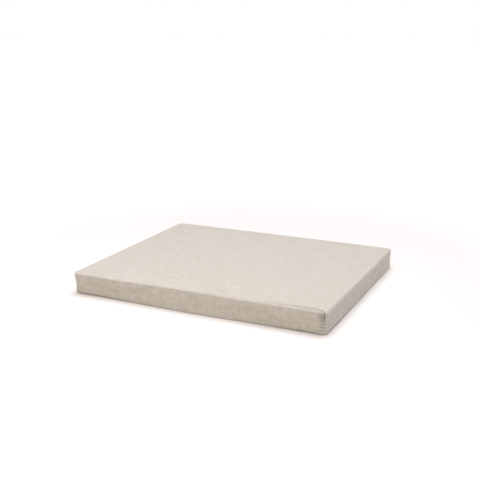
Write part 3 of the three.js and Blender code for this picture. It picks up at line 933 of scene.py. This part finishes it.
def profile_rings(rim, sizes):
    """Rings from the seat of the bottom panel out round the foot, up the boxing, over the rolled edge and
    down to the seat of the top panel. A ring is (x, y, z) in plan before the sides are drawn in."""
    half_gap = sizes.gap / 2
    foot_radius = rim.foot
    foot_z = FOOT_LIFT + foot_radius
    seat_depth = sizes.panel_thickness + sizes.gap
    foot_wall = rim.foot_seam - half_gap

    def ring(inset, z):
        return *place(rim, inset, sizes), np.broadcast_to(z, rim.x.shape)

    def foot_height(inset):
        return foot_z - np.sqrt(foot_radius**2 - (foot_radius - inset) ** 2)

    def shaped(inset, z):
        return ring(inset - boxing_relief(rim, z, sizes), z)

    rings = [ring(foot_wall, 2 * seat_depth)]
    for share in np.linspace(0, 1, DIP_RINGS):
        inset = foot_wall - share * FOOT_DIP
        rings.append(ring(inset, foot_height(inset) + FOOT_DEPTH * dip(share)))
    start = np.arcsin(1 - (foot_wall - FOOT_DIP) / foot_radius)
    for share in np.linspace(0, 1, FOOT_RINGS + 1)[1:]:
        turn = start + (QUARTER - start) * share
        z = foot_z - foot_radius * np.cos(turn)
        rings.append(shaped(foot_radius * (1 - np.sin(turn)), z))
    width = roll_width(rim.seam, sizes)
    head = rim.edge - sizes.edge_height
    for t in np.linspace(0, 1, BOXING_RINGS + 1)[1:-1]:
        rings.append(shaped(0.0, foot_z + (head - foot_z) * t))
    for turn in np.linspace(0, QUARTER, ROLL_RINGS):
        z = head + sizes.edge_height * math.sin(turn) ** EDGE_FOLD
        x, y, _ = shaped(width * (1 - max(0.0, math.cos(turn)) ** EDGE_FOLD), z)
        rings.append((x, y, z))
    for share in np.linspace(1, 0, DIP_RINGS):
        inset = rim.seam - half_gap - share * seam_dip(rim.seam)
        rings.append(ring(inset, rim.edge - seam_depth(rim.seam, sizes) * dip(share)))
    x, y, _ = ring(rim.seam - half_gap, 0.0)
    rings.append((x, y, top_height(x, y, sizes) - seat_depth - SEAT_EASE))
    for share in SEAT_SHARES:
        rings.append((x * share, y * share, top_height(x * share, y * share, sizes) - seat_depth))
    return rings


# Studio


class CUSHION_OT_studio(bpy.types.Operator):
    """Studio: pale floor, soft light from behind, from above and in front, and the camera"""

    bl_idname = "cushion.studio"
    bl_label = "Studio"

    def execute(self, context):
        scene = context.scene
        studio = scene.studio
        scene.view_settings.view_transform = "Standard"
        add_camera(scene, studio)
        add_floor()
        add_backdrop()
        add_lights(scene)
        return {"FINISHED"}


def direction_to(azimuth, elevation):
    """Unit vector from the middle of the scene to azimuth and elevation; azimuth 0 is the front."""
    return Vector(
        (
            math.sin(azimuth) * math.cos(elevation),
            -math.cos(azimuth) * math.cos(elevation),
            math.sin(elevation),
        )
    )


SENSOR_WIDTH = 36  # in millimetres
VIEW_END = 60


def add_camera(scene, studio):
    data = bpy.data.cameras.new("camera")
    data.lens = studio.camera_lens
    data.sensor_width = SENSOR_WIDTH
    data.clip_end = VIEW_END
    camera = bpy.data.objects.new("camera", data)
    back = direction_to(studio.camera_azimuth, studio.camera_elevation)
    camera.location = Vector(studio.camera_aim) + back * studio.camera_distance
    level = (-back).to_track_quat("-Z", "Y")
    camera.rotation_euler = (level @ Quaternion((0, 0, 1), studio.camera_roll)).to_euler()
    scene.collection.objects.link(camera)
    scene.camera = camera


FLOOR_RADIUS = 20.0
NEAR_FLOOR = 0.55  # painted light: the paper is whiter from here outwards, to make up for the near lamp's fall-off
FAR_FLOOR = 1.3
# painted shade near the cushion and painted light far off, in the paper's colour
NEAR_PAPER_PAINTED_SHADE = "E7E3DE"
FAR_PAPER_PAINTED_LIGHT = "FCFCFC"
BACKDROP_RADIUS = 24.0
BACKDROP_STEPS = 48
BACKDROP_RISE = np.radians([-30, -5, 0, 3, 10, 25, 45, 65, 85])


def matt_white_painted_light(name):
    """Matt white paper without shine, painted greyer under the cushion than far off: painted shade that
    deepens the shadow round the cushion, and painted light that makes up for the near lamp's fall-off so
    the far floor shows white.
    """
    material = bpy.data.materials.new(name)
    material.use_nodes = True
    tree = material.node_tree
    shader = tree.nodes["Principled BSDF"]
    spot = add(tree, "TexCoord").outputs["Object"]
    away = add(tree, "VectorMath", {0: spot}, operation="LENGTH").outputs["Value"]
    far = add(
        tree, "MapRange", {"Value": away, "From Min": NEAR_FLOOR, "From Max": FAR_FLOOR},
        interpolation_type="SMOOTHSTEP",
    )
    colour = add(
        tree, "Mix", {0: far, 6: hex_colour(NEAR_PAPER_PAINTED_SHADE), 7: hex_colour(FAR_PAPER_PAINTED_LIGHT)}, data_type="RGBA"
    ).outputs[2]
    tree.links.new(colour, shader.inputs["Base Color"])
    shader.inputs["Roughness"].default_value = 1.0
    shader.inputs["Specular IOR Level"].default_value = 0.0
    return material


def add_floor():
    """A wide level floor of matt white paper."""
    corners = np.array([[-1, -1, 0], [1, -1, 0], [1, 1, 0], [-1, 1, 0]]) * FLOOR_RADIUS
    floor = new_piece("floor", corners, [np.arange(4)])
    floor.data.materials.append(matt_white_painted_light("white_paper_painted_light"))


def add_backdrop():
    """A white dome far round the scene, past the floor: seen by the camera, but it gives no light."""
    turn = np.linspace(0, 4 * QUARTER, BACKDROP_STEPS, endpoint=False)
    rise = BACKDROP_RISE
    points = np.stack(
        [
            np.cos(rise)[:, None] * np.cos(turn),
            np.cos(rise)[:, None] * np.sin(turn),
            np.broadcast_to(np.sin(rise)[:, None], (len(rise), len(turn))),
        ],
        -1,
    )
    backdrop = new_piece("backdrop", points * BACKDROP_RADIUS, grid_faces(*points.shape[:2], closed=True))
    material = bpy.data.materials.new("lit_white")
    material.use_nodes = True
    tree = material.node_tree
    tree.nodes.clear()
    glow = add(tree, "Emission", {"Color": (1, 1, 1, 1), "Strength": 1.0})
    add(tree, "OutputMaterial", {"Surface": glow})
    backdrop.data.materials.append(material)
    backdrop.visible_diffuse = False
    backdrop.visible_glossy = False
    backdrop.visible_shadow = False


# Broad lights, as large soft panels far off. strength: what a white floor gets, 1 is full white. The upper
# ones are cool and the low one warm.
SoftLight = namedtuple("SoftLight", "name azimuth elevation spread strength tint")
BROAD_LIGHTS = (
    SoftLight("rear_high_panel", 180, 70, 50, 0.96, (1.02, 1.015, 1.08)),
    SoftLight("rear_left_panel", 225, 50, 50, 0.08, (0.95, 0.99, 1.04)),
    SoftLight("front_low_panel", 18, 20, 50, 0.32, (1.06, 1.0, 0.95)),
)
# A nearer lamp in front, from which the light falls off to the back. spread is its width in metres.
LAMP = SoftLight("near_lamp", -8, 62, 0.9, 0.265, (1.05, 1.02, 1.0))
LAMP_DISTANCE = 1.2
SUN_DISTANCE = 3.0  # only where the broad lights stand in the scene: their light is the same from anywhere
WORLD_STRENGTH = 0.06


def add_lights(scene):
    world = bpy.data.worlds.new("studio")
    world.use_nodes = True
    background = world.node_tree.nodes["Background"]
    background.inputs[0].default_value = (1, 1, 1, 1)
    background.inputs[1].default_value = WORLD_STRENGTH
    scene.world = world
    for broad in BROAD_LIGHTS:
        data = bpy.data.lights.new(broad.name, "SUN")
        data.energy = math.pi * broad.strength
        data.color = broad.tint
        data.angle = math.radians(broad.spread)
        place_light(scene, data, broad.azimuth, broad.elevation, SUN_DISTANCE)
    data = bpy.data.lights.new(LAMP.name, "AREA")
    data.shape = "DISK"
    data.size = LAMP.spread
    data.energy = LAMP.strength * (math.pi * LAMP_DISTANCE) ** 2
    data.color = LAMP.tint
    place_light(scene, data, LAMP.azimuth, LAMP.elevation, LAMP_DISTANCE)


def place_light(scene, data, azimuth, elevation, distance):
    light = bpy.data.objects.new(data.name, data)
    towards = direction_to(math.radians(azimuth), math.radians(elevation))
    light.location = towards * distance
    light.rotation_euler = (-towards).to_track_quat("-Z", "Y").to_euler()
    scene.collection.objects.link(light)


class CUSHION_PT_panel(bpy.types.Panel):
    bl_idname = "CUSHION_PT_panel"
    bl_label = "Linen bench cushion"
    bl_space_type = "VIEW_3D"
    bl_region_type = "UI"
    bl_category = "Cushion"

    def draw(self, context):
        for operator in OPERATORS:
            self.layout.operator(operator.bl_idname)


OPERATORS = (CUSHION_OT_studio, CUSHION_OT_boxed_body, CUSHION_OT_top_panel, CUSHION_OT_bottom_panel)
CLASSES = (CushionSizes, LinenColours, StudioSettings, *OPERATORS, CUSHION_PT_panel)


def register():
    for cls in CLASSES:
        bpy.utils.register_class(cls)
    bpy.types.Scene.cushion = bpy.props.PointerProperty(type=CushionSizes)
    bpy.types.Scene.linen = bpy.props.PointerProperty(type=LinenColours)
    bpy.types.Scene.studio = bpy.props.PointerProperty(type=StudioSettings)


def unregister():
    del bpy.types.Scene.cushion
    del bpy.types.Scene.linen
    del bpy.types.Scene.studio
    for cls in reversed(CLASSES):
        bpy.utils.unregister_class(cls)


def main():
    register()
    bpy.ops.cushion.studio()
    bpy.ops.cushion.boxed_body()
    bpy.ops.cushion.top_panel()
    bpy.ops.cushion.bottom_panel()


if __name__ == "__main__":
    main()
